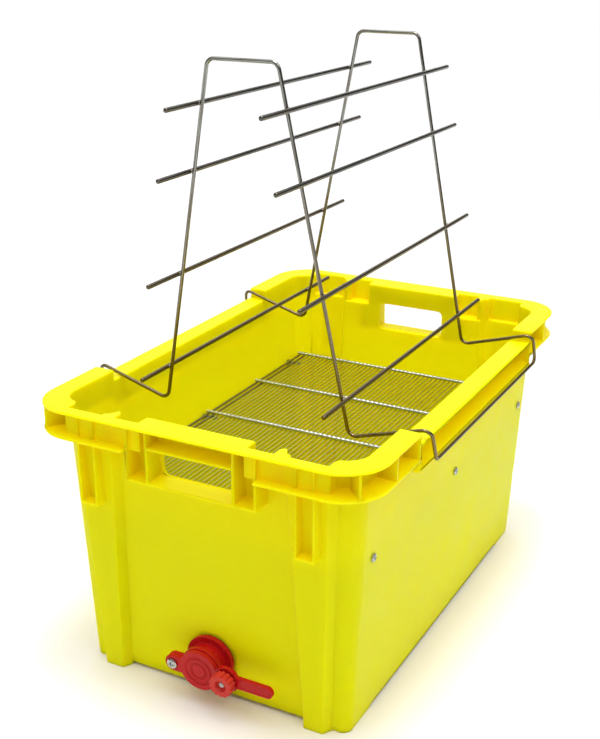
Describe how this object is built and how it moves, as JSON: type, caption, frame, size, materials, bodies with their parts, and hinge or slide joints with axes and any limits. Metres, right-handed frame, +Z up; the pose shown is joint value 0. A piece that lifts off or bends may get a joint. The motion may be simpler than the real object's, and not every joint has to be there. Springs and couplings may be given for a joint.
{
  "type": "uncapping tub",
  "caption": "Rectangular stack-and-nest tub with a lift-out wire strainer, a swing-blade drain gate and a hooked-on wire stand for comb frames.",
  "frame": {"origin": "on the ground, under the middle of the tub", "axes": "+X across the width to the right as seen from the gate end, -Y towards the end with the gate, +Z up"},
  "size_m": [0.4112, 0.6, 0.671],
  "materials": {
    "tub_plastic": "satin moulded, lemon yellow",
    "gate_plastic": "glossy moulded, red",
    "knob_plastic": "satin moulded, orange red",
    "rubber": "matt",
    "zinc": "bright zinc plated",
    "stand_wire": "drawn stainless wire",
    "strainer_wire": "drawn stainless wire",
    "bright_steel": "bright drawn steel"
  },
  "bodies": {
    "base": {"tub": "tub_plastic", "support_screws": "zinc", "support_nuts": "zinc", "gate_body": "gate_plastic", "gate_gasket": "rubber", "gate_lock_nut": "gate_plastic", "gate_seal": "rubber", "pivot_screw": "zinc", "pivot_nut": "zinc", "clamp_bolt": "zinc"},
    "strainer": {"strainer_wires": "strainer_wire", "edge_rod_left_outer": "strainer_wire", "edge_rod_left_inner": "strainer_wire", "edge_rod_right_inner": "strainer_wire", "edge_rod_right_outer": "strainer_wire", "cross_bar_1": "bright_steel", "cross_bar_2": "bright_steel", "cross_bar_3": "bright_steel", "cross_bar_4": "bright_steel", "cross_bar_5": "bright_steel"},
    "stand": {"stand_arch_front": "stand_wire", "stand_arch_back": "stand_wire", "stand_side_bar": "stand_wire", "comb_rod_left_1": "stand_wire", "comb_rod_left_2": "stand_wire", "comb_rod_left_3": "stand_wire", "comb_rod_left_4": "stand_wire", "comb_rod_right_1": "stand_wire", "comb_rod_right_2": "stand_wire", "comb_rod_right_3": "stand_wire", "comb_rod_right_4": "stand_wire"},
    "blade": {"gate_blade": "gate_plastic"},
    "clamp": {"clamp_washer": "zinc"},
    "knob": {"clamp_knob": "knob_plastic"}
  },
  "joints": [
    {"name": "blade_swing", "type": "hinge", "parent": "base", "child": "blade", "pos_m": [-0.033, -0.28468, 0.04567], "axis": [0, -0.9988, -0.0497], "range_deg": [0, 85]},
    {"name": "clamp_travel", "type": "slide", "parent": "base", "child": "clamp", "axis": [0, -0.9988, -0.0497], "range_m": [0, 0.003]},
    {"name": "knob_turn", "type": "hinge", "parent": "clamp", "child": "knob", "pos_m": [0.034, -0.29426, 0.04519], "axis": [0, -0.9988, -0.0497], "range_deg": [0, 1080]},
    {"name": "strainer_lift", "type": "slide", "parent": "base", "child": "strainer", "axis": [0, 0, 1], "range_m": [0, 0.07]},
    {"name": "stand_lift", "type": "slide", "parent": "base", "child": "stand", "axis": [0, 0, 1], "range_m": [0, 0.12]}
  ],
  "couplings": [
    {"joint": "knob_turn", "follows": "clamp_travel", "rad_per_m": 6283.2}
  ]
}
